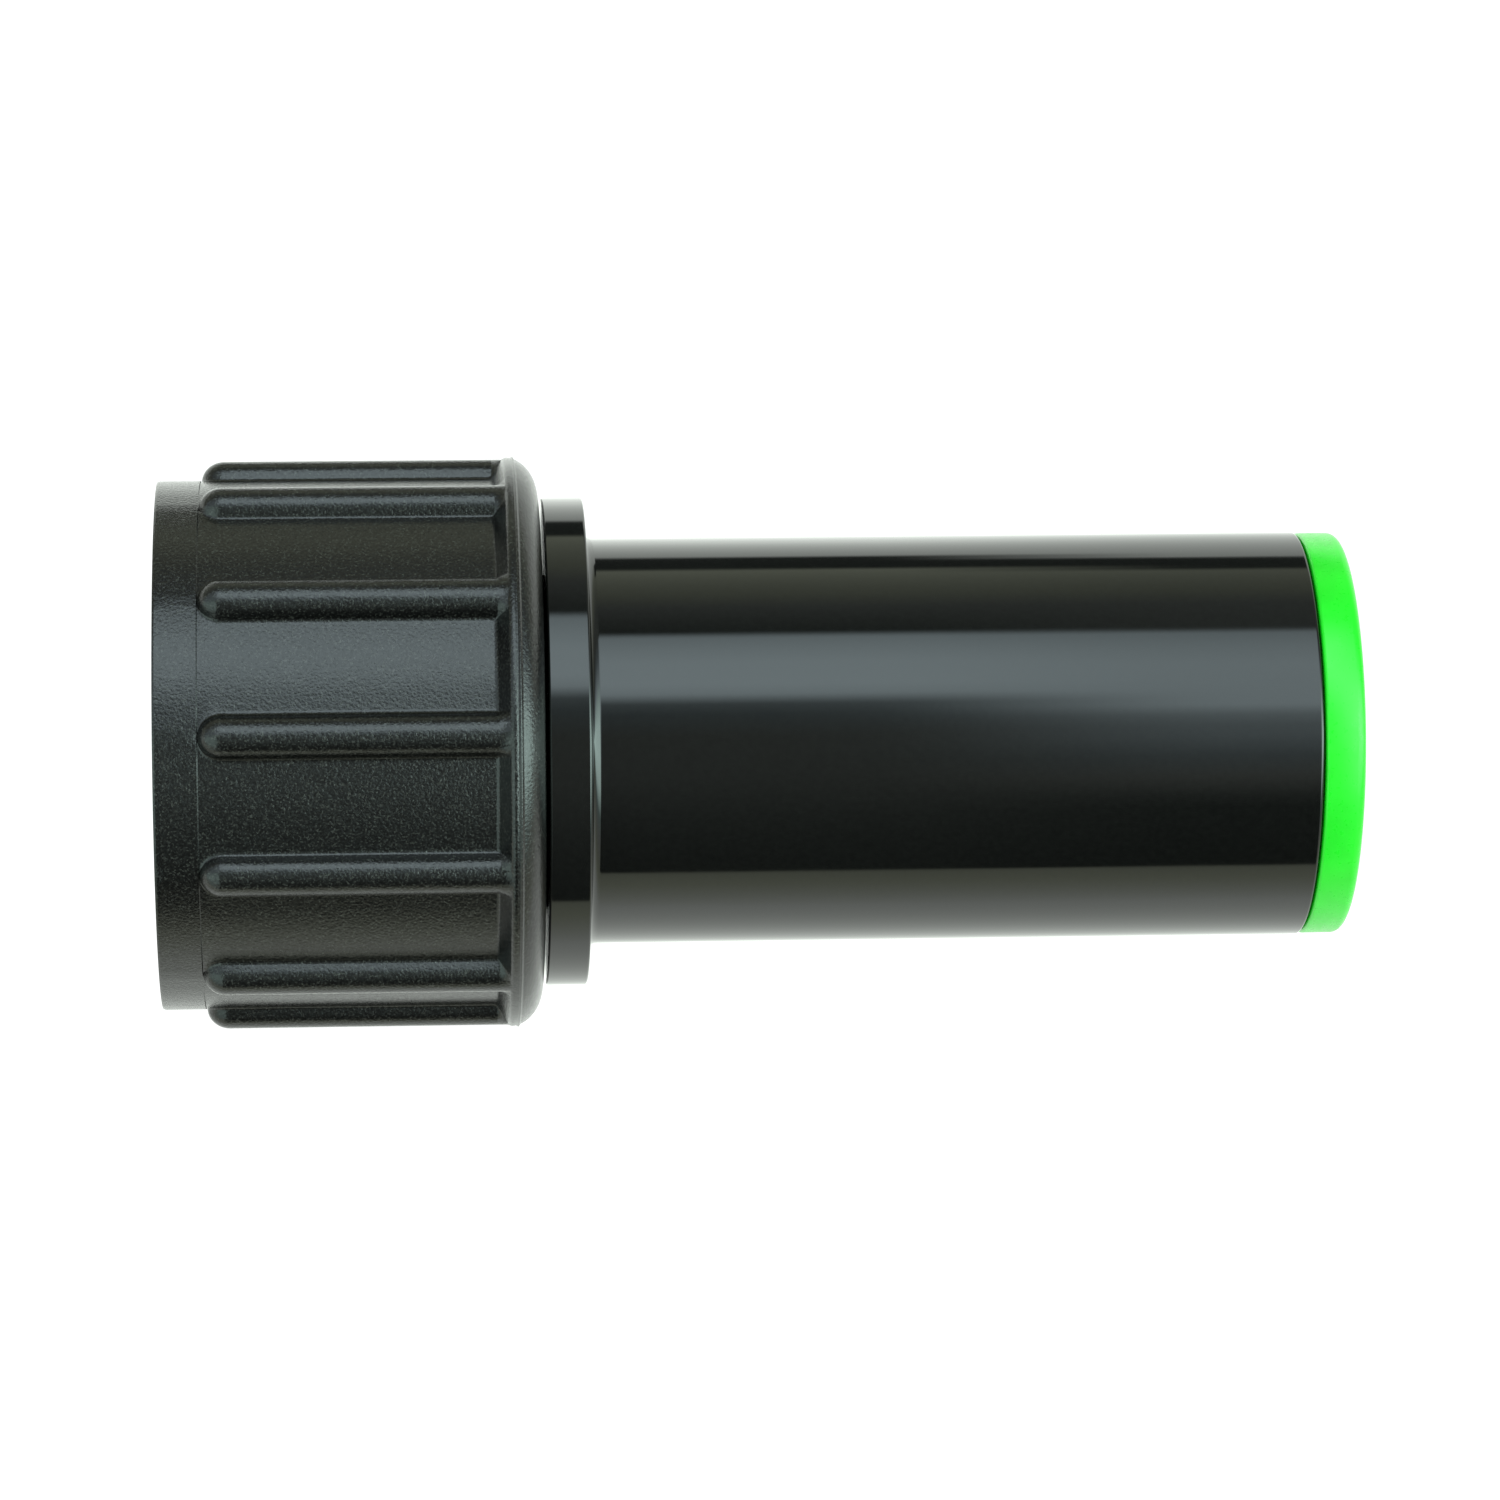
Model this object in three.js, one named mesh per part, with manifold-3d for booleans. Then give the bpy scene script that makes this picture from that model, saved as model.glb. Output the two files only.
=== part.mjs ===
// Swivel adapter that joins a garden hose thread to drip tubing: a ribbed hose nut turns on the spigot of a
// moulded body, and a coloured compression insert in the body's barrel grips the tubing that is pushed into it.
// Millimetres. The pieces are drawn round the Y axis, from the nut's open end at y = 0 towards the tubing end,
// and the exported group lays that axis along +X, with its origin halfway along the fitting.
import * as THREE from "three";
import { mergeVertices } from "three/addons/utils/BufferGeometryUtils.js";
import Module from "manifold-3d";

// Roundness: facets round a turned piece, steps in a turn of the thread, steps in a rounded outline, and the
// size of the slivers that are cleaned away.
const FACETS = 48;
const THREAD_STEPS = 32;
const ARC_STEPS = 2;
const SLIVER = 0.01;

// Clearances.
const TURNING_GAP = 0.3; // between the nut's bore and the spigot's neck, on the radius
const LIP_ROOM = 1.1; // between the spigot's lip and the inside of the nut, on the radius
const END_PLAY = 0.3; // between the spigot's lip and the nut's flange
const COLLAR_GAP = 0.2; // between the nut's end and the collar
const FACE_GAP = 0.3; // between the washer and the lip that it seals against
const FIT_GAP = 0.1; // between pieces that are pressed or welded together
const WASHER_GAP = 0.3; // between the washer and the crests of the thread that it passes

// Hose thread in the nut: 3/4 inch, 11.5 turns to the inch, right-handed.
const THREAD_ROOT_DIAMETER = 27.4;
const THREAD_DEPTH = 1.25;
const THREAD_PITCH = 25.4 / 11.5;
const THREAD_TURNS = 5;
const THREAD_CREST_WIDTH = 0.35;
const THREAD_ROOT_WIDTH = 1.79; // where the ridge meets the wall
const THREAD_LEAD_IN = 2; // plain length before the first turn
const THREAD_RUN_OUT = 1.3; // plain length between the last turn and the washer
const THREAD_FADE = 0.3; // share of a turn over which each end of the ridge rises from the wall
const THREAD_SINK = 0.25; // how far the ridge is rooted in the wall

// Nut.
const NUT_WALL = 2.55; // outside the thread
const NUT_FLANGE = 2.7; // thickness of the flange that holds the nut on the spigot
const NUT_EDGE = 0.3;
const MOUTH_FLARE = 0.8; // how much wider than the thread the open end is
const PLAIN_BAND = 2.5; // from the open end to the ribs
const RIB_COUNT = 12;
const RIB_WIDTH = 2.55;
const RIB_HEIGHT = 1.25;
const RIB_RUN_UP = 1.5; // length of each rib's rounded end
const RIDGE_HEIGHT = 1.3; // the ring that closes the ribs, over the nut's wall
const RIDGE_FLANK = 0.8; // length of the slope on the ridge's rib side
const RIDGE_BACK = 2.05; // length of the rounded back of the ridge
const RIDGE_FALL = 2.45; // how far the rounded back comes down
const NUT_TURN = THREE.MathUtils.degToRad(-1.75); // how far the nut is turned on its spigot

// Body: spigot with a snap lip, collar, and barrel.
const NECK_WALL = 2.65;
const LIP_OVERLAP = 0.8; // how far the lip stands over the nut's bore
const LIP_LENGTH = 2.7;
const LIP_TAPER = 0.6; // the lip's sloping front edge, on the radius
const LIP_TAPER_LENGTH = 1.2;
const COLLAR_THICKNESS = 2.55;
const COLLAR_STEP = 2.6; // how far the collar stands over the barrel
const BARREL_LENGTH = 44.2;
const BARREL_WALL = 1.95;
const BARREL_FILLET = 0.65; // between the collar and the barrel
const SOCKET_STEP = 0.4; // how far the barrel's cavity steps in behind the insert
const STOP_DEPTH = 2.6; // from the collar to the face that the tubing stops on
const STOP_CONE = 0.8;
const BODY_EDGE = 0.15;

// Tubing and the compression insert that grips it.
const TUBE_DIAMETER = 17.8;
const TUBE_WALL = 1.3;
const TUBE_ROOM = 0.45; // between the tubing and the insert's relieved bore
const TOOTH_BITE = 0.3; // how far the gripping edges press into the tubing
const TOOTH_BACK = 0.5; // length of a gripping edge's steep side
const TOOTH_SLOPE = 2; // length of its sloping side
const TOOTH_DEPTHS = [5, 9.5]; // from the open end
const INSERT_WALL = 1.1;
const INSERT_LENGTH = 12; // inside the barrel
const RING_WIDTH = 2.5; // the coloured ring that shows past the barrel
const RING_STEP = 0.07; // how far the ring lies below the barrel's surface
const RING_ROUND = 0.55;
const MOUTH_ROOM = 1.05; // between the tubing and the insert's mouth
const MOUTH_EDGE = 0.3;

// Hose washer with a filter screen.
const WASHER_THICKNESS = 2.9;
const WASHER_EDGE = 0.2;
const WASHER_SEAT = 0.8; // depth of the recess for the screen's rim
const RIM_FLANGE = 1.55; // how far the rim's flange stands over its sleeve
const RIM_SHEET = 0.55;
const RIM_SHORTFALL = 0.2; // how far the rim's sleeve ends inside the washer's back
const RIM_GAP = 0.3; // between the rim and the washer's bore, on the radius
const SCREEN_GAP = 0.45; // between the rim's sleeve and the spigot's bore, on the radius
const SCREEN_SHEET = 0.35;
const SCREEN_RISE = 4.5; // height of the dome
const SCREEN_SHOULDER = 0.35; // how far inside the sleeve's end the dome starts
const SCREEN_HOLE = 0.9;
const SCREEN_PITCH = 1.5;
const SCREEN_BORDER = 1.2; // unpierced edge of the dome

// Radii that follow from the sizes above.
const threadRoot = THREAD_ROOT_DIAMETER / 2;
const threadCrest = threadRoot - THREAD_DEPTH;
const nutRadius = threadRoot + NUT_WALL;
const lip = threadCrest - LIP_ROOM;
const nutBore = lip - LIP_OVERLAP;
const neck = nutBore - TURNING_GAP;
const flow = neck - NECK_WALL;
const tube = TUBE_DIAMETER / 2;
const stopBore = tube - TUBE_WALL;
const relief = tube + TUBE_ROOM;
const sleeve = relief + INSERT_WALL;
const socket = sleeve + FIT_GAP;
const cavity = socket - SOCKET_STEP;
const barrel = socket + BARREL_WALL;
const collar = barrel + COLLAR_STEP;

// Places along the axis that follow from the sizes above.
const threadEnd = THREAD_LEAD_IN + THREAD_TURNS * THREAD_PITCH;
const washerFront = threadEnd + THREAD_RUN_OUT;
const washerBack = washerFront + WASHER_THICKNESS;
const lipFront = washerBack + FACE_GAP;
const lipBack = lipFront + LIP_LENGTH;
const nutShoulder = lipBack + END_PLAY;
const nutEnd = nutShoulder + NUT_FLANGE;
const ridgeCrest = nutEnd - RIDGE_BACK;
const collarFront = nutEnd + COLLAR_GAP;
const collarBack = collarFront + COLLAR_THICKNESS;
const tubeStop = collarBack + STOP_DEPTH;
const barrelEnd = collarBack + BARREL_LENGTH;
const ringFront = barrelEnd + FIT_GAP;
const ringEnd = ringFront + RING_WIDTH;

const wasm = await Module();
wasm.setup();

// A closed geometry as a solid that can be joined and cut.
function solid(geometry) {
  const bare = geometry.clone();
  bare.deleteAttribute("normal");
  bare.deleteAttribute("uv");
  const merged = mergeVertices(bare);
  return new wasm.Manifold(
    new wasm.Mesh({
      numProp: 3,
      vertProperties: merged.attributes.position.array,
      triVerts: new Uint32Array(merged.index.array),
    }),
  );
}

// A solid as a geometry again, without the slivers that joining and cutting leave.
function geometryOf(made) {
  const mesh = made.simplify(SLIVER).getMesh();
  return new THREE.BufferGeometry()
    .setAttribute("position", new THREE.BufferAttribute(mesh.vertProperties, 3))
    .setIndex(new THREE.BufferAttribute(mesh.triVerts, 1));
}

// An outline of (radius, place) points, turned round the axis. It runs out, up the outside and down the inside.
function turned(outline) {
  return new THREE.LatheGeometry(outline.getPoints(ARC_STEPS), FACETS);
}

// Moves every vertex of a geometry to the place that a function gives for it.
function reshape(geometry, move) {
  const position = geometry.attributes.position;
  const point = new THREE.Vector3();
  for (let i = 0; i < position.count; i++) {
    move(point.fromBufferAttribute(position, i));
    position.setXYZ(i, point.x, point.y, point.z);
  }
  return geometry;
}

// The thread's ridge: a straight bar bent into a helix on the nut's wall, rising from it at both ends.
function threadRidge() {
  const halfRoot = THREAD_ROOT_WIDTH / 2;
  const halfCrest = THREAD_CREST_WIDTH / 2;
  const halfSunk = halfRoot + ((halfRoot - halfCrest) * THREAD_SINK) / THREAD_DEPTH;
  const section = new THREE.Shape()
    .moveTo(-halfSunk, THREAD_SINK)
    .lineTo(-halfCrest, -THREAD_DEPTH)
    .lineTo(halfCrest, -THREAD_DEPTH)
    .lineTo(halfSunk, THREAD_SINK);
  const turns = THREAD_TURNS - THREAD_ROOT_WIDTH / THREAD_PITCH;
  const bar = new THREE.ExtrudeGeometry(section, {
    depth: turns,
    steps: Math.round(turns * THREAD_STEPS),
    bevelEnabled: false,
  });
  return reshape(bar, (p) => {
    const fade = Math.min(1, p.z / THREAD_FADE, (turns - p.z) / THREAD_FADE);
    const rise = p.y < 0 ? THREE.MathUtils.lerp(THREAD_SINK / 2, p.y, fade) : p.y;
    const radius = threadRoot + rise;
    const angle = p.z * 2 * Math.PI;
    const place = THREAD_LEAD_IN + halfRoot + p.z * THREAD_PITCH + p.x;
    p.set(radius * Math.sin(angle), place, radius * Math.cos(angle));
  });
}

// One grip rib: a round bar with rounded ends, half sunk in the nut's wall. Its far end is inside the ridge.
function gripRib() {
  const end = ridgeCrest + RIB_RUN_UP;
  const straight = end - PLAIN_BAND - 2 * RIB_RUN_UP;
  const bar = new THREE.CapsuleGeometry(1, straight / RIB_RUN_UP, ARC_STEPS, 4 * ARC_STEPS);
  bar.scale(RIB_WIDTH / 2, RIB_RUN_UP, RIB_HEIGHT);
  return bar.translate(0, (PLAIN_BAND + end) / 2, nutRadius);
}

function swivelNut() {
  const outline = new THREE.Path()
    .moveTo(nutRadius - NUT_EDGE, 0)
    .lineTo(nutRadius, NUT_EDGE)
    .lineTo(nutRadius, ridgeCrest - RIDGE_FLANK)
    .lineTo(nutRadius + RIDGE_HEIGHT, ridgeCrest)
    .absellipse(
      nutRadius + RIDGE_HEIGHT - RIDGE_FALL,
      ridgeCrest,
      RIDGE_FALL,
      RIDGE_BACK,
      0,
      Math.PI / 2,
      false,
    )
    .lineTo(nutBore, nutEnd)
    .lineTo(nutBore, nutShoulder)
    .lineTo(threadCrest, nutShoulder)
    .lineTo(threadCrest, threadEnd + THREAD_DEPTH)
    .lineTo(threadRoot, threadEnd)
    .lineTo(threadRoot, MOUTH_FLARE)
    .lineTo(threadRoot + MOUTH_FLARE, 0)
    .closePath();
  let nut = solid(turned(outline)).add(solid(threadRidge()));
  for (let i = 0; i < RIB_COUNT; i++) {
    const rib = gripRib().rotateY((i * 2 * Math.PI) / RIB_COUNT);
    nut = nut.add(solid(rib));
  }
  return geometryOf(nut);
}

function fittingBody() {
  const outline = new THREE.Path()
    .moveTo(flow, lipFront)
    .lineTo(lip - LIP_TAPER, lipFront)
    .lineTo(lip, lipFront + LIP_TAPER_LENGTH)
    .lineTo(lip, lipBack)
    .lineTo(neck, lipBack)
    .lineTo(neck, collarFront)
    .lineTo(collar - BODY_EDGE, collarFront)
    .lineTo(collar, collarFront + BODY_EDGE)
    .lineTo(collar, collarBack - BODY_EDGE)
    .lineTo(collar - BODY_EDGE, collarBack)
    .lineTo(barrel + BARREL_FILLET, collarBack)
    .absarc(
      barrel + BARREL_FILLET,
      collarBack + BARREL_FILLET,
      BARREL_FILLET,
      -Math.PI / 2,
      -Math.PI,
      true,
    )
    .lineTo(barrel, barrelEnd - BODY_EDGE)
    .lineTo(barrel - BODY_EDGE, barrelEnd)
    .lineTo(socket, barrelEnd)
    .lineTo(socket, barrelEnd - INSERT_LENGTH)
    .lineTo(cavity, barrelEnd - INSERT_LENGTH)
    .lineTo(cavity, tubeStop + STOP_CONE)
    .lineTo(relief, tubeStop)
    .lineTo(stopBore, tubeStop)
    .lineTo(stopBore, collarBack)
    .lineTo(flow, collarFront)
    .closePath();
  return turned(outline);
}

function compressionInsert() {
  const ring = barrel - RING_STEP;
  const mouth = tube + MOUTH_ROOM;
  const start = barrelEnd - INSERT_LENGTH + FIT_GAP;
  const outline = new THREE.Path()
    .moveTo(relief, start)
    .lineTo(sleeve, start)
    .lineTo(sleeve, ringFront)
    .lineTo(ring - BODY_EDGE, ringFront)
    .lineTo(ring, ringFront + BODY_EDGE)
    .lineTo(ring, ringEnd - RING_ROUND)
    .absarc(ring - RING_ROUND, ringEnd - RING_ROUND, RING_ROUND, 0, Math.PI / 2, false)
    .lineTo(mouth + MOUTH_EDGE, ringEnd)
    .lineTo(mouth, ringEnd - MOUTH_EDGE);
  TOOTH_DEPTHS.forEach((depth, i) => {
    const edge = ringEnd - depth;
    if (i > 0) outline.lineTo(relief, edge + TOOTH_SLOPE);
    outline.lineTo(tube - TOOTH_BITE, edge);
    outline.lineTo(relief, edge - TOOTH_BACK);
  });
  return turned(outline.closePath());
}

// Radii of the screen's rim, which passes into the spigot's bore with the screen.
const rimSleeve = flow - SCREEN_GAP;
const rimInside = rimSleeve - RIM_SHEET;
const rimFlange = rimSleeve + RIM_FLANGE;

function hoseWasher() {
  const outside = threadCrest - WASHER_GAP;
  const seat = rimFlange + RIM_GAP;
  const bore = rimSleeve + RIM_GAP;
  const outline = new THREE.Path()
    .moveTo(seat, washerFront)
    .lineTo(outside - WASHER_EDGE, washerFront)
    .lineTo(outside, washerFront + WASHER_EDGE)
    .lineTo(outside, washerBack - WASHER_EDGE)
    .lineTo(outside - WASHER_EDGE, washerBack)
    .lineTo(bore, washerBack)
    .lineTo(bore, washerFront + WASHER_SEAT)
    .lineTo(seat, washerFront + WASHER_SEAT)
    .closePath();
  return turned(outline);
}

// The rim's flange lies in the washer's recess, and its sleeve holds the screen.
const rimFront = washerFront + WASHER_SEAT - FIT_GAP - RIM_SHEET;
const rimEnd = washerBack - RIM_SHORTFALL;

function screenRim() {
  const outline = new THREE.Path()
    .moveTo(rimInside, rimFront)
    .lineTo(rimFlange, rimFront)
    .lineTo(rimFlange, rimFront + RIM_SHEET)
    .lineTo(rimSleeve, rimFront + RIM_SHEET)
    .lineTo(rimSleeve, rimEnd)
    .lineTo(rimInside, rimEnd)
    .closePath();
  return turned(outline);
}

function filterScreen() {
  const outside = rimInside - FIT_GAP;
  const inside = outside - SCREEN_SHEET;
  const front = rimFront + FIT_GAP;
  const shoulder = rimEnd - SCREEN_SHOULDER;
  const outline = new THREE.Path()
    .moveTo(inside, front)
    .lineTo(outside, front)
    .lineTo(outside, shoulder)
    .absellipse(0, shoulder, outside, SCREEN_RISE, 0, Math.PI / 2, false)
    .lineTo(0, shoulder + SCREEN_RISE - SCREEN_SHEET)
    .absellipse(0, shoulder, inside, SCREEN_RISE - SCREEN_SHEET, Math.PI / 2, 0, true)
    .closePath();
  let screen = solid(turned(outline));
  const pierced = inside - SCREEN_BORDER;
  const reach = Math.ceil(pierced / SCREEN_PITCH);
  for (let i = -reach; i <= reach; i++) {
    for (let j = -reach; j <= reach; j++) {
      const [x, z] = [i * SCREEN_PITCH, j * SCREEN_PITCH];
      if (Math.hypot(x, z) > pierced) continue;
      const hole = new THREE.BoxGeometry(SCREEN_HOLE, 2 * SCREEN_RISE, SCREEN_HOLE);
      screen = screen.subtract(solid(hole.translate(x, shoulder + SCREEN_RISE, z)));
    }
  }
  return geometryOf(screen);
}

function plastic(color, roughness) {
  return new THREE.MeshStandardMaterial({ color, roughness, metalness: 0 });
}

function steel(roughness) {
  return new THREE.MeshStandardMaterial({ color: 0xb4b6b8, roughness, metalness: 1 });
}

function piece(name, geometry, material) {
  const mesh = new THREE.Mesh(geometry, material);
  mesh.name = name;
  return mesh;
}

const nut = piece("swivel_nut", swivelNut(), plastic(0x1c1d1b, 0.5));
nut.rotation.y = NUT_TURN;

const fitting = new THREE.Group();
fitting.add(
  piece("fitting_body", fittingBody(), plastic(0x111211, 0.12)),
  nut,
  piece("compression_insert", compressionInsert(), plastic(0x2bf537, 0.35)),
  piece("hose_washer", hoseWasher(), plastic(0x18181a, 0.85)),
  piece("screen_rim", screenRim(), steel(0.25)),
  piece("filter_screen", filterScreen(), steel(0.35)),
);
fitting.rotation.z = -Math.PI / 2;
fitting.position.x = -ringEnd / 2;

const adapter = new THREE.Group();
adapter.add(fitting);

export default adapter;
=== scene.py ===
"""Looks for the hose swivel adapter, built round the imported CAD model.

The fitting lies along +X, with the swivel nut's open end at the low end and the tubing end at the high end.
Sizes below are in millimetres, and places along the axis are measured from the nut's open end. An angle round
the axis is 0 on the side of the camera and grows upwards. The camera and the floor are in metres.
"""

import math

import bmesh
import bpy
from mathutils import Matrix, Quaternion, Vector


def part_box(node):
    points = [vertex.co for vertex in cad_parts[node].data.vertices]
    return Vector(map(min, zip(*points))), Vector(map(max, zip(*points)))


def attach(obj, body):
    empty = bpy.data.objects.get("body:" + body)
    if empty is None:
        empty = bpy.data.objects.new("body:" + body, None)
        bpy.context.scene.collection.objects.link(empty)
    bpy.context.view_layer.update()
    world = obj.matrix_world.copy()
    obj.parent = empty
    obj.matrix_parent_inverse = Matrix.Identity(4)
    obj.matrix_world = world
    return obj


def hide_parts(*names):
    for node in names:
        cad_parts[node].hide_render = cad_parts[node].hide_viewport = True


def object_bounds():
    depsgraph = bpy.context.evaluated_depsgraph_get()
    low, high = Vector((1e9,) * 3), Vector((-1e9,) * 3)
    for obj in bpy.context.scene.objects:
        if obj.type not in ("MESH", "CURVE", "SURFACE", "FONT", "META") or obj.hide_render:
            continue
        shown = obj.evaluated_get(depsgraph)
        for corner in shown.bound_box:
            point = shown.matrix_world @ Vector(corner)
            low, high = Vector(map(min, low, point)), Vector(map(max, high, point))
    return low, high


MM = 0.001
TURN = 2 * math.pi

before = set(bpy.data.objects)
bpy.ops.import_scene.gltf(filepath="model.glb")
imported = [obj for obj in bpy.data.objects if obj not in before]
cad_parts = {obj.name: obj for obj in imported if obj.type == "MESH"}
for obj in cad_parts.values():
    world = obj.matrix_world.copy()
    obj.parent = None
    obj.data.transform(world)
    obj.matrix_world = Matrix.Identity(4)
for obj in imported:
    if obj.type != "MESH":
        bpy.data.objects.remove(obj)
cad_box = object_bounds()

# Where each piece starts and ends, from the CAD model.
AXIS_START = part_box("swivel_nut")[0].x


def reach(node):
    """A CAD node's first and last place along the axis, in millimetres from the nut's open end."""
    low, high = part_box(node)
    return (low.x - AXIS_START) / MM, (high.x - AXIS_START) / MM


NUT_END = reach("swivel_nut")[1]
LIP_FRONT, BARREL_END = reach("fitting_body")
INSERT_START, RING_END = reach("compression_insert")
WASHER_FRONT, WASHER_BACK = reach("hose_washer")
RIM_FRONT, RIM_END = reach("screen_rim")
SCREEN_FRONT, SCREEN_TOP = reach("filter_screen")

# Nut. A ridge closes its outside next to the body: it rises over a flank and falls over a rounded back.
NUT_RADIUS = 16.25
NUT_BORE = 10.55  # round the body's neck
NUT_FLANGE = 2.7  # thickness of the end that the neck passes through
NUT_EDGE = 0.15
MOUTH_FLARE = 0.8
WITNESS_LINE = 2.62  # where two halves of the mould meet round the plain band
WITNESS_STEP = 0.05
PLAIN_BAND = 2.67  # from the open end to the ribs
RIB_COUNT = 12
RIB_TURN = math.radians(1.45)  # angle of the rib that faces the camera
RIB_HALF_WIDTH = 1.275
RIB_HEIGHT = 1.25
RIB_RUN_UP = 1.4  # length of each rib's rounded end
RIB_FILLET = 0.28
RIDGE_HEIGHT = 1.3
RIDGE_FLANK = 0.8
RIDGE_BACK = 2.05
RIDGE_FALL = 2.45
RIDGE_BLEND = 0.12  # how softly the ribs meet the ridge
PARTING_LINE = 0.55  # from the ridge's crest to the line of the mould along its back
PARTING_WIDTH = 0.3
PARTING_HEIGHT = 0.12

# Thread in the nut.
THREAD_ROOT = 13.7
THREAD_DEPTH = 1.25
THREAD_PITCH = 25.4 / 11.5
THREAD_TURNS = 5
THREAD_CREST_WIDTH = 0.35
THREAD_ROOT_WIDTH = 1.79
THREAD_LEAD_IN = 2
THREAD_FADE = 0.3  # turns over which each end of the thread runs out
THREAD_STEPS = 13  # rows of the mesh to one turn

# Body.
FLOW_BORE = 7.6
NECK = 10.25
LIP = 11.35
LIP_LENGTH = 2.7
LIP_TAPER = 0.6
LIP_TAPER_LENGTH = 1.2
COLLAR_GAP = 0.2
COLLAR = 15.05
COLLAR_THICKNESS = 2.55
COLLAR_EDGE = 0.16
BARREL = 12.5
BARREL_EDGE = 0.2
BARREL_FILLET = 0.65
SOCKET = 10.55
SOCKET_DEPTH = 12
CAVITY = 10.15
STOP_DEPTH = 2.6
STOP_CONE = 0.8

# Insert. The ring is the part of it that shows outside the barrel.
RING = 12.43
RING_FRONT = BARREL_END + 0.1
RING_ROUND = 0.55
SLEEVE = 10.45
RELIEF = 9.35
MOUTH = 9.95
TOOTH = 8.6
TOOTH_BACK = 0.5
TOOTH_SLOPE = 2
TOOTH_DEPTHS = (5, 9.5)

# Washer, rim and screen. The rim's flange lies in a seat in the washer's face.
WASHER = 12.15
WASHER_SEAT = 0.8
WASHER_SEAT_RADIUS = 9
WASHER_BORE = 7.45
RIM_FLANGE = 8.7
RIM_SLEEVE = 7.15
RIM_SHEET = 0.55
SCREEN_RADIUS = 6.28
SCREEN_SEAT = 0.35  # how far inside the rim's end the dome starts
SCREEN_EDGE = 0.3  # room left beside the outermost wires
WIRE = 0.11
WIRE_PITCH = 0.62
WIRE_SIDES = 6
WIRE_STEPS = 4


# ---------------------------------------------------------------- shapes


def rounded(corners, steps=5):
    """A closed outline from (place, radius, rounding) corners: each corner becomes an arc of its rounding."""
    outline = []
    count = len(corners)
    for i, (place, radius, rounding) in enumerate(corners):
        corner = Vector((place, radius))
        if rounding == 0:
            outline.append(tuple(corner))
            continue
        before = (Vector(corners[i - 1][:2]) - corner).normalized()
        after = (Vector(corners[(i + 1) % count][:2]) - corner).normalized()
        half = before.angle(after) / 2
        centre = corner + (before + after).normalized() * rounding / math.sin(half)
        start = corner + before * rounding / math.tan(half) - centre
        end = corner + after * rounding / math.tan(half) - centre
        sweep = start.angle_signed(end)
        for step in range(steps + 1):
            turn = -sweep * step / steps
            cos, sin = math.cos(turn), math.sin(turn)
            outline.append(
                (centre.x + start.x * cos - start.y * sin, centre.y + start.x * sin + start.y * cos)
            )
    return outline


def divided(outline, longest):
    """The same closed outline with no stretch longer than the given length."""
    made = []
    for i, start in enumerate(outline):
        end = outline[(i + 1) % len(outline)]
        pieces = max(1, math.ceil(math.dist(start, end) / longest))
        for k in range(pieces):
            share = k / pieces
            made.append(tuple(a + (b - a) * share for a, b in zip(start, end)))
    return made


def even_angles(count):
    """Angles round the axis, evenly spaced."""
    return [TURN * i / count for i in range(count)]


def turned(name, outline, angles, shape=None):
    """A solid of revolution about X. A shape gives the final radius and angle of each point of it."""
    points = []
    for column in angles:
        for place, radius in outline:
            r, angle = shape(place, radius, column) if shape else (radius, column)
            points.append(
                (AXIS_START + place * MM, -r * math.cos(angle) * MM, r * math.sin(angle) * MM)
            )
    rows = len(outline)
    faces = []
    for i in range(len(angles)):
        this, following = i * rows, (i + 1) % len(angles) * rows
        for j in range(rows):
            k = (j + 1) % rows
            faces.append((this + j, this + k, following + k, following + j))
    return finished(name, points, faces)


def finished(name, points, faces):
    """A mesh object with its faces pointing out and its shading smooth except across real edges."""
    mesh = bpy.data.meshes.new(name)
    mesh.from_pydata(points, [], faces)
    work = bmesh.new()
    work.from_mesh(mesh)
    bmesh.ops.recalc_face_normals(work, faces=work.faces)
    work.to_mesh(mesh)
    work.free()
    mesh.shade_smooth()
    mesh.set_sharp_from_angle(angle=math.radians(40))
    made = bpy.data.objects.new(name, mesh)
    bpy.context.scene.collection.objects.link(made)
    weighted = made.modifiers.new("even_shading", "WEIGHTED_NORMAL")
    weighted.keep_sharp = True
    return made


def smooth_step(value):
    """0 below 0, 1 above 1, and a smooth rise in between."""
    t = min(1.0, max(0.0, value))
    return t * t * (3 - 2 * t)


def smooth_max(a, b, blend):
    """The larger of two values, rounded off where they are within blend of each other."""
    share = max(0.0, blend - abs(a - b)) / blend
    return max(a, b) + share * share * blend / 4


# ---------------------------------------------------------------- nut

FILLET_OVERLAP = 0.02  # how far a rib's fillets reach into its sides
NARROWEST = 0.1  # share of the columns' spread that is left at the tip of a rib


def rib_angles():
    """Angles round the nut: close together over each rib and its fillets, wider apart between the ribs."""
    across, between = 20, 6
    offsets = [RIB_HALF_WIDTH * (2 * i / across - 1) for i in range(across + 1)]
    for beyond in (0.03, 0.08, 0.15, RIB_FILLET + FILLET_OVERLAP):
        offsets += [-RIB_HALF_WIDTH - beyond, RIB_HALF_WIDTH + beyond]
    first = max(offsets)
    last = TURN / RIB_COUNT * NUT_RADIUS - first
    offsets += [first + (last - first) * i / between for i in range(1, between)]
    offsets.sort()
    return [
        RIB_TURN + TURN * rib / RIB_COUNT + offset / NUT_RADIUS
        for rib in range(RIB_COUNT)
        for offset in offsets
    ]


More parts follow.
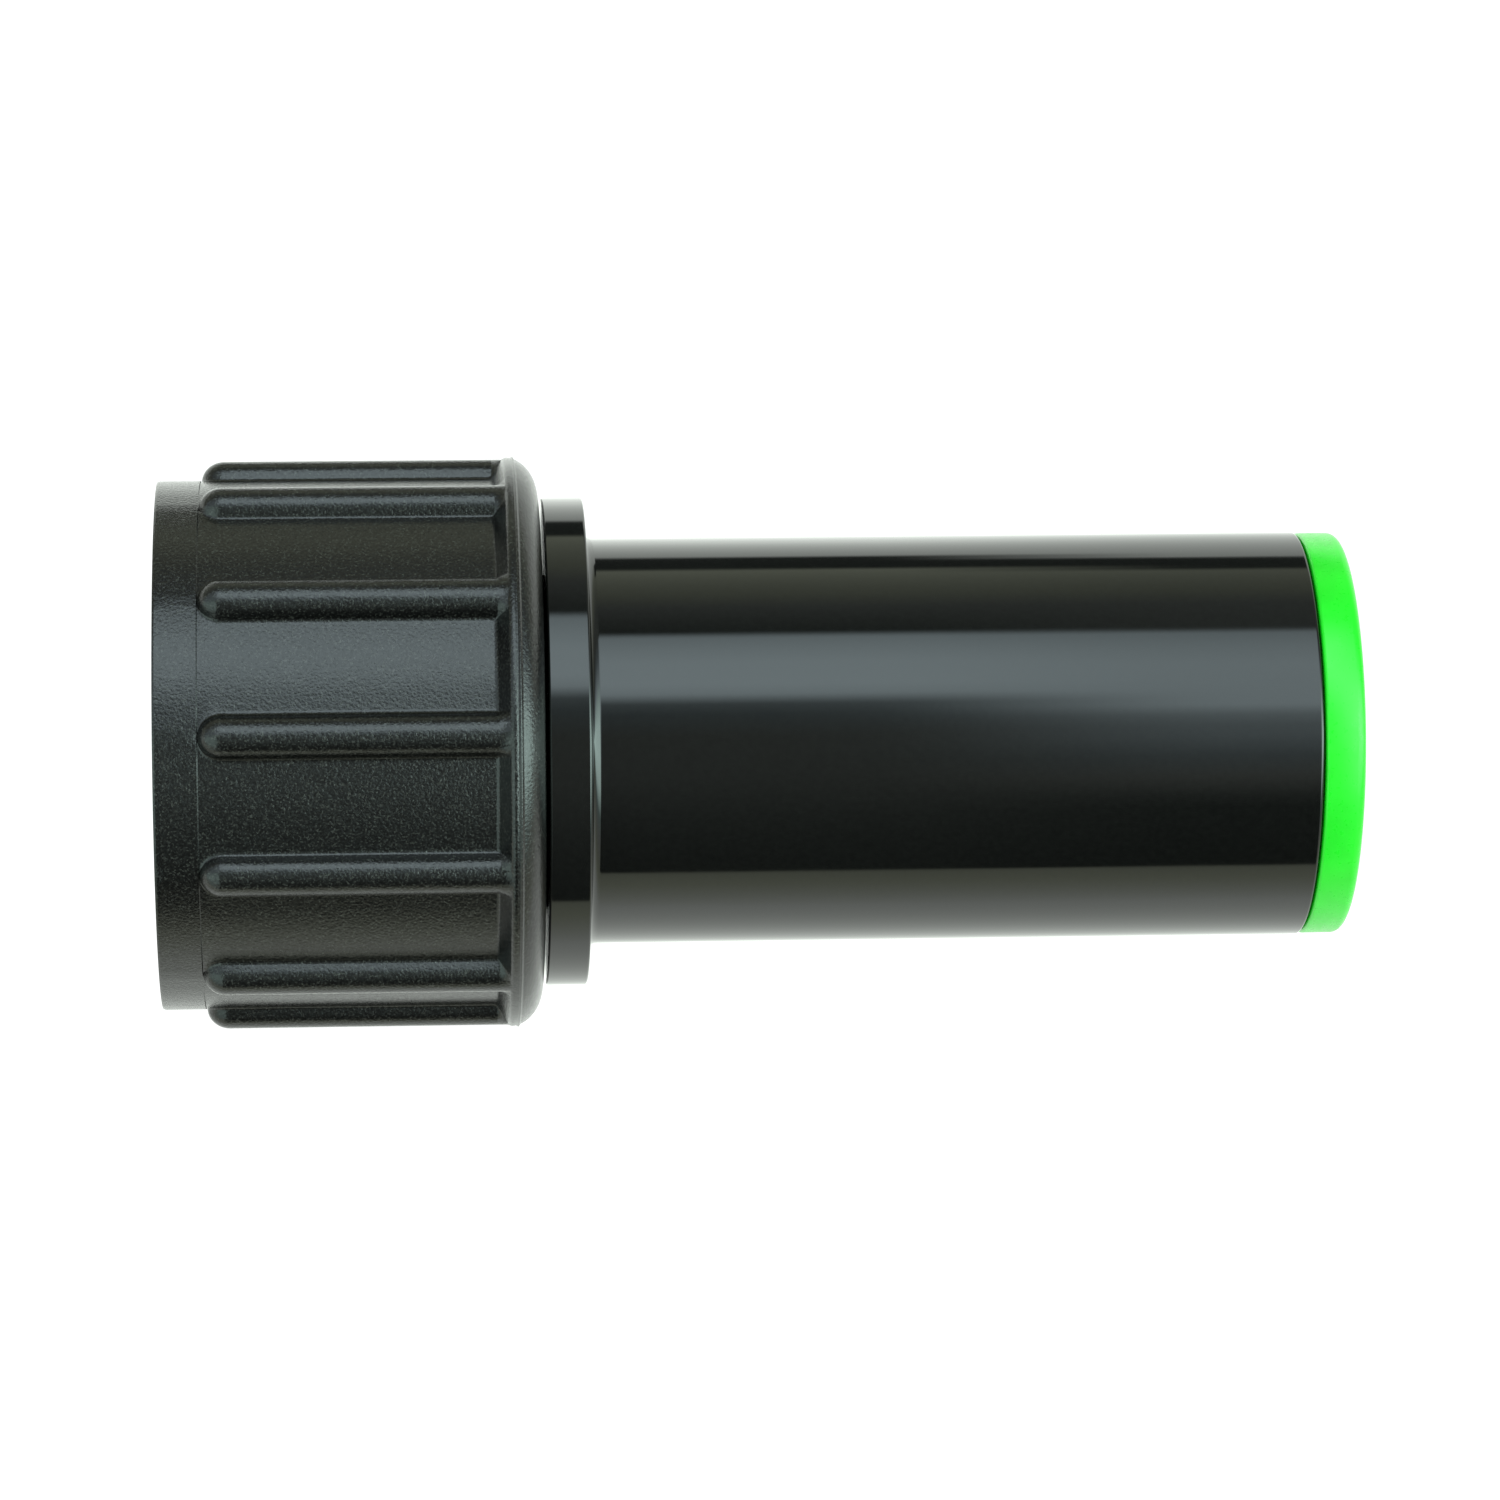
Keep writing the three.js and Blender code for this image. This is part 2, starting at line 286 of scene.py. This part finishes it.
def grip_rib(place, angle):
    """How far a rib stands over the nut's wall at a place and angle, and the angle that the column moves to.

    A rib is a half-round bar with a fillet at its foot. Over its rounded end the same section shrinks to a
    point, and the columns of the mesh close in with it.
    """
    spacing = TURN / RIB_COUNT
    rib = RIB_TURN + spacing * round((angle - RIB_TURN) / spacing)
    side = math.copysign(1, angle - rib)
    across = abs(angle - rib) * NUT_RADIUS
    height = RIB_HEIGHT * math.sqrt(max(0.0, 1 - (across / RIB_HALF_WIDTH) ** 2))
    beyond = across - RIB_HALF_WIDTH + FILLET_OVERLAP
    if 0 < beyond < RIB_FILLET:
        foot = RIB_FILLET - math.sqrt(RIB_FILLET**2 - (RIB_FILLET - beyond) ** 2)
        height = max(height, foot)
    run = min(1.0, max(0.0, 1 - (place - PLAIN_BAND) / RIB_RUN_UP))
    share = math.sqrt(1 - run**2)
    width = max(share, NARROWEST)
    reach_out = spacing * NUT_RADIUS / 2
    if across < RIB_HALF_WIDTH:
        moved = across * width
    else:
        left_over = (across - RIB_HALF_WIDTH) / (reach_out - RIB_HALF_WIDTH)
        moved = RIB_HALF_WIDTH * width + left_over * (reach_out - RIB_HALF_WIDTH * width)
    return height * share, rib + side * moved / NUT_RADIUS


def thread_rise(place, angle):
    """How far the thread stands in from the nut's wall."""
    turns = THREAD_TURNS - THREAD_ROOT_WIDTH / THREAD_PITCH
    start = THREAD_LEAD_IN + THREAD_ROOT_WIDTH / 2
    turn = angle / TURN
    ridge = round((place - start) / THREAD_PITCH + turn) - turn
    ridge = min(max(ridge, 0.0), turns)
    off = abs(place - start - ridge * THREAD_PITCH)
    flank = (THREAD_ROOT_WIDTH - THREAD_CREST_WIDTH) / 2
    rise = smooth_step(0.5 + (THREAD_CREST_WIDTH / 2 + flank / 2 - off) / flank / 1.15)
    fade = smooth_step(min(ridge, turns - ridge) / THREAD_FADE)
    return THREAD_DEPTH * rise * fade


def swivel_nut():
    """The nut: ribs and a ridge outside, a thread inside, and a flange that turns on the body's neck."""
    crest = NUT_END - RIDGE_BACK
    shoulder = NUT_END - NUT_FLANGE
    thread_end = THREAD_LEAD_IN + THREAD_TURNS * THREAD_PITCH
    wall = NUT_RADIUS - WITNESS_STEP
    crest_radius = NUT_RADIUS + RIDGE_HEIGHT
    corners = [
        (0, THREAD_ROOT + MOUTH_FLARE, 0.12),
        (0, NUT_RADIUS, NUT_EDGE),
        (WITNESS_LINE, NUT_RADIUS, 0.03),
        (WITNESS_LINE + 0.04, wall, 0.03),
        (crest - RIDGE_FLANK, wall, 0.35),
        (crest, crest_radius, 0.35),
    ]
    for degrees in [*range(8, 25), *range(30, 91, 5)]:
        angle = math.radians(degrees)
        place = RIDGE_BACK * math.sin(angle)
        radius = crest_radius - RIDGE_FALL * (1 - math.cos(angle))
        off_line = abs(place - PARTING_LINE) / PARTING_WIDTH
        bead = PARTING_HEIGHT * smooth_step(1 - 2 * off_line)
        corners.append((crest + place, radius + bead, 0))
    corners += [
        (NUT_END, NUT_BORE, 0.2),
        (shoulder, NUT_BORE, 0.2),
        (shoulder, THREAD_ROOT - THREAD_DEPTH, 0.3),
        (thread_end + THREAD_DEPTH, THREAD_ROOT - THREAD_DEPTH, 0.2),
        (thread_end, THREAD_ROOT, 0.2),
        (MOUTH_FLARE, THREAD_ROOT, 0.1),
    ]
    ends = [PLAIN_BAND + RIB_RUN_UP * (1 - math.cos(math.pi / 2 * i / 12)) for i in range(13)]
    steps = round(THREAD_TURNS * THREAD_STEPS)
    turns = [THREAD_LEAD_IN + (thread_end - THREAD_LEAD_IN) * i / steps for i in range(steps + 1)]
    outline = divided(rounded(corners, steps=4), 1.2)
    outline = with_rows(outline, wall, ends)
    outline = with_rows(outline, THREAD_ROOT, turns)

    def shape(place, radius, angle):
        if abs(radius - THREAD_ROOT) < 0.001:
            return radius - thread_rise(place, angle), angle
        if radius > THREAD_ROOT + MOUTH_FLARE + 0.2 and place < crest + 0.01:
            height, angle = grip_rib(place, angle)
            radius = smooth_max(radius, wall + height, min(RIDGE_BLEND, height + 0.001))
        return radius, angle

    return turned("nut_moulding", outline, rib_angles(), shape)


def with_rows(outline, radius, places):
    """The outline with points at the given places too, along its straight stretch of the given radius."""
    tolerance = 1e-4
    made = []
    for i, (place, r) in enumerate(outline):
        made.append((place, r))
        following = outline[(i + 1) % len(outline)]
        if abs(r - radius) < tolerance and abs(following[1] - radius) < tolerance:
            low, high = sorted((place, following[0]))
            between = sorted(p for p in places if low < p < high)
            if following[0] < place:
                between.reverse()
            made += [(p, radius) for p in between]
    return made


# ---------------------------------------------------------------- body and insert


def fitting_body():
    """The body: a lip and neck inside the nut, a collar, and a barrel with a socket for the insert."""
    lip_back = LIP_FRONT + LIP_LENGTH
    collar_front = NUT_END + COLLAR_GAP
    collar_back = collar_front + COLLAR_THICKNESS
    stop = collar_back + STOP_DEPTH
    socket = BARREL_END - SOCKET_DEPTH
    outline = rounded(
        [
            (LIP_FRONT, FLOW_BORE, 0.3),
            (LIP_FRONT, LIP - LIP_TAPER, 0.25),
            (LIP_FRONT + LIP_TAPER_LENGTH, LIP, 0.4),
            (lip_back, LIP, 0.15),
            (lip_back, NECK, 0.1),
            (collar_front, NECK, 0.1),
            (collar_front, COLLAR, COLLAR_EDGE),
            (collar_back, COLLAR, COLLAR_EDGE),
            (collar_back, BARREL, BARREL_FILLET),
            (BARREL_END, BARREL, BARREL_EDGE),
            (BARREL_END, SOCKET, 0.1),
            (socket, SOCKET, 0.1),
            (socket, CAVITY, 0.1),
            (stop + STOP_CONE, CAVITY, 0.3),
            (stop, RELIEF, 0.15),
            (stop, FLOW_BORE, 0.2),
        ]
    )
    return turned("body_moulding", divided(outline, 2.5), even_angles(256))


def compression_insert():
    """The insert: a sleeve with rings of teeth in the barrel's socket, and a ring outside it."""
    corners = [
        (INSERT_START, RELIEF, 0.1),
        (INSERT_START, SLEEVE, 0.2),
        (RING_FRONT, SLEEVE, 0.05),
        (RING_FRONT, RING, 0.25),
        (RING_END, RING, RING_ROUND),
        (RING_END, MOUTH, 0.3),
    ]
    for i, depth in enumerate(TOOTH_DEPTHS):
        edge = RING_END - depth
        if i > 0:
            corners.append((edge + TOOTH_SLOPE, RELIEF, 0.1))
        corners.append((edge, TOOTH, 0.03))
        corners.append((edge - TOOTH_BACK, RELIEF, 0.06))
    return turned("gripping_insert", divided(rounded(corners), 1.5), even_angles(256))


# ---------------------------------------------------------------- washer, rim and screen


def hose_washer():
    """A flat rubber ring with a seat for the rim's flange."""
    outline = rounded(
        [
            (WASHER_FRONT, WASHER_SEAT_RADIUS, 0.12),
            (WASHER_FRONT, WASHER, 0.25),
            (WASHER_BACK, WASHER, 0.25),
            (WASHER_BACK, WASHER_BORE, 0.15),
            (WASHER_FRONT + WASHER_SEAT, WASHER_BORE, 0.1),
            (WASHER_FRONT + WASHER_SEAT, WASHER_SEAT_RADIUS, 0.1),
        ]
    )
    return turned("washer_ring", divided(outline, 0.8), even_angles(160))


def screen_rim():
    """A flanged sleeve of thin sheet."""
    bend = RIM_SHEET * 0.8
    outline = rounded(
        [
            (RIM_FRONT, RIM_SLEEVE - RIM_SHEET, bend),
            (RIM_FRONT, RIM_FLANGE, RIM_SHEET * 0.45),
            (RIM_FRONT + RIM_SHEET, RIM_FLANGE, RIM_SHEET * 0.45),
            (RIM_FRONT + RIM_SHEET, RIM_SLEEVE, 0.08),
            (RIM_END, RIM_SLEEVE, 0.2),
            (RIM_END, RIM_SLEEVE - RIM_SHEET, 0.2),
        ]
    )
    return turned("pressed_rim", divided(outline, 0.5), even_angles(128))


def tube(path, radius, sides, points, faces):
    """Adds a closed tube along a path to a list of points and faces."""
    start = len(points)
    for i, centre in enumerate(path):
        ahead = path[min(i + 1, len(path) - 1)] - path[max(i - 1, 0)]
        side = ahead.cross(Vector((1, 0, 0))).normalized()
        up = side.cross(ahead).normalized()
        for k in range(sides):
            angle = TURN * k / sides
            points.append(centre + (side * math.cos(angle) + up * math.sin(angle)) * radius)
    for i in range(len(path) - 1):
        for k in range(sides):
            a = start + i * sides + k
            b = start + i * sides + (k + 1) % sides
            faces.append((a, b, b + sides, a + sides))
    last = start + (len(path) - 1) * sides
    faces.append(tuple(start + k for k in reversed(range(sides))))
    faces.append(tuple(last + k for k in range(sides)))


def wire_path(row, lengthwise):
    """The centre line of one woven wire over the dome, in metres."""
    across = row * WIRE_PITCH
    reach_out = math.sqrt(SCREEN_RADIUS**2 - across**2)
    shoulder = RIM_END - SCREEN_SEAT
    rise = SCREEN_TOP - shoulder - 2 * WIRE
    steps = math.ceil(2 * reach_out / WIRE_PITCH) * WIRE_STEPS
    weave = WIRE if lengthwise else -WIRE
    path = []
    for step in range(steps + 1):
        angle = math.pi * (step / steps - 0.5)
        along = reach_out * math.sin(angle)
        height = rise * reach_out / SCREEN_RADIUS * math.cos(angle)
        wave = weave * math.cos(math.pi * (along / WIRE_PITCH + row))
        out = Vector((height / rise**2, along / SCREEN_RADIUS**2, across / SCREEN_RADIUS**2))
        point = Vector((shoulder + height, along, across)) + out.normalized() * wave
        if not lengthwise:
            point.y, point.z = point.z, point.y
        path.append(Vector((AXIS_START, 0, 0)) + point * MM)
    skirt = Vector((SCREEN_FRONT + WIRE - shoulder, 0, 0)) * MM
    return [path[0] + skirt, *path, path[-1] + skirt]


def filter_screen():
    """A dome of woven wires: every row is woven over and under the rows that cross it."""
    points, faces = [], []
    rows = math.floor((SCREEN_RADIUS - SCREEN_EDGE) / WIRE_PITCH)
    for row in range(-rows, rows + 1):
        for lengthwise in (True, False):
            tube(wire_path(row, lengthwise), WIRE * MM, WIRE_SIDES, points, faces)
    return finished("woven_wires", points, faces)


# ---------------------------------------------------------------- materials


class Surface:
    """A material with a Principled shader, and short ways to make the textures that feed it."""

    def __init__(self, name, **constants):
        self.material = bpy.data.materials.new(name)
        self.material.use_nodes = True
        self.tree = self.material.node_tree
        self.shader = self.tree.nodes["Principled BSDF"]
        for socket, value in constants.items():
            self.shader.inputs[socket.replace("_", " ")].default_value = value
        self.coordinates = self.tree.nodes.new("ShaderNodeTexCoord").outputs["Object"]

    def link(self, output, socket):
        """Feeds a socket from a node's output."""
        self.tree.links.new(output, socket)

    def noise(self, size, detail=2.0, stretch=(1, 1, 1)):
        """Noise whose features are about size millimetres across, times stretch along each axis."""
        mapping = self.tree.nodes.new("ShaderNodeMapping")
        mapping.inputs["Scale"].default_value = [1 / (size * MM * s) for s in stretch]
        self.link(self.coordinates, mapping.inputs["Vector"])
        node = self.tree.nodes.new("ShaderNodeTexNoise")
        node.inputs["Scale"].default_value = 1
        node.inputs["Detail"].default_value = detail
        self.link(mapping.outputs["Vector"], node.inputs["Vector"])
        return node.outputs["Fac"]

    def spread(self, value, low, high, start=0.3, end=0.7):
        """A value from low to high, as the given one goes from start to end."""
        node = self.tree.nodes.new("ShaderNodeMapRange")
        node.inputs["From Min"].default_value = start
        node.inputs["From Max"].default_value = end
        node.inputs["To Min"].default_value = low
        node.inputs["To Max"].default_value = high
        self.link(value, node.inputs["Value"])
        return node.outputs["Result"]

    def mix(self, factor, first, second):
        """A colour between two colours."""
        node = self.tree.nodes.new("ShaderNodeMix")
        node.data_type = "RGBA"
        node.inputs["A"].default_value = (*first, 1)
        node.inputs["B"].default_value = (*second, 1)
        self.link(factor, node.inputs["Factor"])
        return node.outputs["Result"]

    def bump(self, height, depth):
        """Relief of the given depth in millimetres, on top of the relief added before."""
        node = self.tree.nodes.new("ShaderNodeBump")
        node.inputs["Distance"].default_value = depth * MM
        self.link(height, node.inputs["Height"])
        normal = self.shader.inputs["Normal"]
        if normal.is_linked:
            self.link(normal.links[0].from_socket, node.inputs["Normal"])
        self.link(node.outputs["Normal"], normal)


def gloss_black():
    """The body's polished moulding: almost a mirror, with faint flow marks and a film of fine dust."""
    surface = Surface("gloss_black", IOR=1.5)
    flow = surface.noise(6, detail=3, stretch=(3, 1, 1))
    dust = surface.noise(0.35, detail=4)
    surface.link(
        surface.mix(surface.spread(dust, 0, 1), (0.0018, 0.0022, 0.0019), (0.0032, 0.0037, 0.0032)),
        surface.shader.inputs["Base Color"],
    )
    surface.link(surface.spread(flow, 0.05, 0.085), surface.shader.inputs["Roughness"])
    surface.bump(surface.noise(5, detail=1, stretch=(4, 1, 1)), 0.004)
    surface.bump(surface.noise(0.5, detail=2), 0.0003)
    return surface.material


def satin_black():
    """The nut's eroded-finish moulding: a satin sheen broken up by a fine grain and pale specks."""
    surface = Surface("satin_black", IOR=1.5)
    grain = surface.noise(0.17, detail=3)
    specks = surface.noise(0.14, detail=2)
    pale = surface.spread(specks, 0, 1, start=0.52, end=0.72)
    surface.link(
        surface.mix(pale, (0.0008, 0.0009, 0.0008), (0.024, 0.026, 0.022)),
        surface.shader.inputs["Base Color"],
    )
    surface.link(surface.spread(grain, 0.18, 0.27), surface.shader.inputs["Roughness"])
    surface.bump(surface.noise(1.6, detail=2), 0.006)
    surface.bump(grain, 0.03)
    return surface.material


def green_plastic():
    """The insert's bright moulding, slightly translucent, with a soft gloss."""
    surface = Surface("green_plastic", IOR=1.48, Subsurface_Weight=0.15, Subsurface_Scale=0.0008)
    surface.shader.inputs["Subsurface Radius"].default_value = (0.1, 1.0, 0.15)
    clouds = surface.noise(2.2, detail=3)
    surface.link(
        surface.mix(surface.spread(clouds, 0, 1), (0.005, 0.60, 0.009), (0.009, 0.68, 0.014)),
        surface.shader.inputs["Base Color"],
    )
    surface.link(surface.spread(surface.noise(0.3), 0.26, 0.36), surface.shader.inputs["Roughness"])
    surface.bump(surface.noise(0.25, detail=2), 0.002)
    return surface.material


def washer_rubber():
    """Matt black rubber with a chalky bloom and a fine moulded grain."""
    surface = Surface("washer_rubber", IOR=1.5)
    bloom = surface.noise(1.1, detail=4)
    surface.link(
        surface.mix(surface.spread(bloom, 0, 1), (0.012, 0.012, 0.012), (0.030, 0.030, 0.029)),
        surface.shader.inputs["Base Color"],
    )
    surface.link(surface.spread(bloom, 0.55, 0.8), surface.shader.inputs["Roughness"])
    surface.bump(surface.noise(0.18, detail=3), 0.02)
    return surface.material


def pressed_steel():
    """Bright stainless sheet with circular drawing marks."""
    surface = Surface("pressed_steel", Metallic=1.0)
    marks = surface.noise(0.4, detail=3, stretch=(0.25, 3, 3))
    surface.link(
        surface.mix(surface.spread(marks, 0, 1), (0.48, 0.48, 0.47), (0.66, 0.66, 0.65)),
        surface.shader.inputs["Base Color"],
    )
    surface.link(surface.spread(marks, 0.16, 0.34), surface.shader.inputs["Roughness"])
    surface.bump(marks, 0.003)
    return surface.material


def steel_wire():
    """Drawn stainless wire, a little duller in patches."""
    surface = Surface("steel_wire", Metallic=1.0)
    tarnish = surface.noise(0.9, detail=3)
    surface.link(
        surface.mix(surface.spread(tarnish, 0, 1), (0.36, 0.35, 0.33), (0.60, 0.60, 0.58)),
        surface.shader.inputs["Base Color"],
    )
    surface.link(surface.spread(tarnish, 0.22, 0.42), surface.shader.inputs["Roughness"])
    surface.bump(surface.noise(0.06, detail=1), 0.002)
    return surface.material


# ---------------------------------------------------------------- studio

# The studio's brightness all round the fitting's axis, as (angle, brightness, tint). Angles are in degrees
# and run as on the fitting. Each ring of light lies further towards the tubing end than the one before it.
PEAK = 8.0
NEUTRAL = (0.94, 1.0, 0.94)
COOL = (0.83, 1.0, 1.05)
WARM = (0.93, 1.0, 0.78)
TEAL = (0.76, 1.0, 0.93)
BEHIND_BELOW = [
    (-180, 1.60, NEUTRAL),
    (-160, 1.30, NEUTRAL),
    (-137, 1.32, NEUTRAL),
    (-110, 1.40, NEUTRAL),
    (-90, 1.02, WARM),
    (-81.7, 0.90, WARM),
]
NUT_SIDE = [
    *BEHIND_BELOW,
    (-80, 0.80, NEUTRAL),
    (-55, 1.50, TEAL),
    (-15, 2.40, TEAL),
    (5, 1.60, TEAL),
    (18, 1.20, COOL),
    (50, 1.20, COOL),
    (62, 0.40, NEUTRAL),
    (110, 0.60, WARM),
    (130, 1.50, NEUTRAL),
    (180, 1.60, NEUTRAL),
]
SQUARE_ON = [
    *BEHIND_BELOW,
    (-80.2, 0.07, NEUTRAL),
    (-57, 0.12, NEUTRAL),
    (-44, 0.17, NEUTRAL),
    (-20, 0.30, NEUTRAL),
    (2, 0.33, NEUTRAL),
    (14, 0.47, COOL),
    (20, 0.80, COOL),
    (25.5, 3.30, COOL),
    (31, 3.80, COOL),
    (44, 3.70, COOL),
    (52, 3.20, COOL),
    (59.7, 2.60, COOL),
    (62.7, 0.14, NEUTRAL),
    (80, 0.36, NEUTRAL),
    (90, 0.60, WARM),
    (111.6, 0.92, WARM),
    (113.1, 0.07, NEUTRAL),
    (125.9, 0.07, NEUTRAL),
    (127.4, 1.50, NEUTRAL),
    (150, 1.90, NEUTRAL),
    (180, 1.60, NEUTRAL),
]
TUBING_SIDE = [
    *BEHIND_BELOW,
    (-80.2, 0.05, NEUTRAL),
    (-42, 0.09, NEUTRAL),
    (-35.6, 0.17, NEUTRAL),
    (-30, 0.32, NEUTRAL),
    (-24, 0.48, NEUTRAL),
    (-12, 0.66, COOL),
    (-1, 1.15, COOL),
    (5, 1.32, COOL),
    (10.7, 1.80, COOL),
    (16.5, 3.20, COOL),
    (40, 3.30, COOL),
    (50, 2.90, COOL),
    (59.2, 2.30, COOL),
    (62.2, 0.30, NEUTRAL),
    (80, 0.36, NEUTRAL),
    (90, 0.55, WARM),
    (107.6, 0.75, WARM),
    (109.1, 0.07, NEUTRAL),
    (120.6, 0.07, NEUTRAL),
    (122.1, 1.50, NEUTRAL),
    (180, 1.60, NEUTRAL),
]
TUBING_END = [
    *BEHIND_BELOW,
    (-60, 0.90, NEUTRAL),
    (-46, 1.10, TEAL),
    (-38, 3.20, TEAL),
    (-28, 5.80, TEAL),
    (-10, 7.60, TEAL),
    (8, 7.20, TEAL),
    (22, 4.80, TEAL),
    (36, 2.30, COOL),
    (50, 0.90, COOL),
    (64, 0.40, NEUTRAL),
    (80, 0.36, NEUTRAL),
    (110, 0.75, WARM),
    (124, 1.40, NEUTRAL),
    (180, 1.25, NEUTRAL),
]
# Each ring takes over from the one before as a direction's X goes from the first number to the second.
RINGS = [
    (SQUARE_ON, -0.35, -0.25),
    (TUBING_SIDE, 0.088, 0.135),
    (TUBING_END, 0.22, 0.32),
]


def studio_ramp(tree, angle, stops):
    """A colour ramp that gives the studio's brightness for an angle that runs from 0 to 1 round the axis."""
    node = tree.nodes.new("ShaderNodeValToRGB")
    elements = node.color_ramp.elements
    while len(elements) > 1:
        elements.remove(elements[-1])
    for i, (degrees, brightness, tint) in enumerate(stops):
        position = (degrees + 180) / 360
        element = elements[0] if i == 0 else elements.new(position)
        element.position = position
        element.color = (*(brightness / PEAK * channel for channel in tint), 1)
    tree.links.new(angle, node.inputs["Fac"])
    return node.outputs["Color"]


def studio_light():
    """Soft studio light from all round, as the world's light. The camera itself sees plain white."""
    world = bpy.data.worlds.new("studio")
    bpy.context.scene.world = world
    world.use_nodes = True
    tree = world.node_tree
    background = tree.nodes["Background"]
    direction = tree.nodes.new("ShaderNodeSeparateXYZ")
    source = tree.nodes.new("ShaderNodeTexCoord")
    tree.links.new(source.outputs["Generated"], direction.inputs["Vector"])
    front = tree.nodes.new("ShaderNodeMath")
    front.operation = "MULTIPLY"
    front.inputs[1].default_value = -1
    tree.links.new(direction.outputs["Y"], front.inputs[0])
    angle = tree.nodes.new("ShaderNodeMath")
    angle.operation = "ARCTAN2"
    tree.links.new(direction.outputs["Z"], angle.inputs[0])
    tree.links.new(front.outputs["Value"], angle.inputs[1])
    round_share = passed(tree, angle.outputs["Value"], -math.pi, math.pi)
    light = studio_ramp(tree, round_share, NUT_SIDE)
    for stops, start, end in RINGS:
        ring = studio_ramp(tree, round_share, stops)
        light = mixed(tree, passed(tree, direction.outputs["X"], start, end), light, ring)
    white = tree.nodes.new("ShaderNodeRGB").outputs["Color"]
    white.default_value = (1 / PEAK, 1 / PEAK, 1 / PEAK, 1)
    path = tree.nodes.new("ShaderNodeLightPath")
    seen = mixed(tree, path.outputs["Is Camera Ray"], light, white)
    tree.links.new(seen, background.inputs["Color"])
    background.inputs["Strength"].default_value = PEAK


def passed(tree, value, start, end):
    """The share of the way from start to end that a value has gone, from 0 to 1."""
    node = tree.nodes.new("ShaderNodeMapRange")
    node.inputs["From Min"].default_value = start
    node.inputs["From Max"].default_value = end
    tree.links.new(value, node.inputs["Value"])
    return node.outputs["Result"]


def mixed(tree, share, first, second):
    """A colour between two linked colours."""
    node = tree.nodes.new("ShaderNodeMix")
    node.data_type = "RGBA"
    tree.links.new(share, node.inputs["Factor"])
    tree.links.new(first, node.inputs["A"])
    tree.links.new(second, node.inputs["B"])
    return node.outputs["Result"]


def pale_floor():
    """A plain pale floor that sweeps up behind the fitting. It stays out of the fitting's reflections."""
    floor = cad_box[0].z
    wide, front, bend, radius, top = 2.5, -2.5, 0.9, 0.5, 2.0
    profile = [(front, floor), (bend, floor)]
    for step in range(1, 17):
        angle = math.pi / 2 * step / 16
        profile.append((bend + radius * math.sin(angle), floor + radius * (1 - math.cos(angle))))
    profile.append((bend + radius, top))
    points = [(x, y, z) for y, z in profile for x in (-wide, wide)]
    faces = [(2 * i, 2 * i + 1, 2 * i + 3, 2 * i + 2) for i in range(len(profile) - 1)]
    mesh = bpy.data.meshes.new("pale_floor")
    mesh.from_pydata(points, [], faces)
    mesh.shade_smooth()
    sweep = bpy.data.objects.new("pale_floor", mesh)
    bpy.context.scene.collection.objects.link(sweep)
    surface = Surface("pale_floor", Roughness=0.9, Emission_Strength=1.0)
    surface.shader.inputs["Base Color"].default_value = (0.08, 0.08, 0.08, 1)
    surface.shader.inputs["Emission Color"].default_value = (1, 1, 1, 1)
    mesh.materials.append(surface.material)
    sweep.visible_glossy = False


def camera():
    """The camera stands in front of the nut and is turned to face the middle of the fitting."""
    distance = 0.372
    aside = -0.0236
    below = -0.00068
    aim_aside = -0.0001
    roll = math.radians(-0.65)
    data = bpy.data.cameras.new("camera")
    data.sensor_width = 36
    data.lens = 144.5
    made = bpy.data.objects.new("camera", data)
    bpy.context.scene.collection.objects.link(made)
    middle = (cad_box[0] + cad_box[1]) / 2
    aim = Vector((middle.x + aim_aside, middle.y, middle.z + below))
    place = Vector((middle.x + aside, middle.y - distance, middle.z + below))
    facing = (aim - place).to_track_quat("-Z", "Y")
    made.location = place
    made.rotation_euler = (facing @ Quaternion((0, 0, 1), roll)).to_euler()
    bpy.context.scene.camera = made


# ---------------------------------------------------------------- assembly

PIECES = [
    (fitting_body, gloss_black, "body", "fitting_body", "moulded_body"),
    (swivel_nut, satin_black, "nut", "swivel_nut", "moulded_nut"),
    (compression_insert, green_plastic, "body", "compression_insert", "coloured_insert"),
    (hose_washer, washer_rubber, "filter", "hose_washer", "washer_rubber"),
    (screen_rim, pressed_steel, "filter", "screen_rim", "pressed_steel"),
    (filter_screen, steel_wire, "filter", "filter_screen", "woven_steel"),
]

for build, paint, body, node, slot in PIECES:
    piece = build()
    piece.data.materials.append(paint())
    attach(piece, body)
    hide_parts(node)

camera()
studio_light()
pale_floor()
bpy.context.scene.view_settings.view_transform = "Standard"
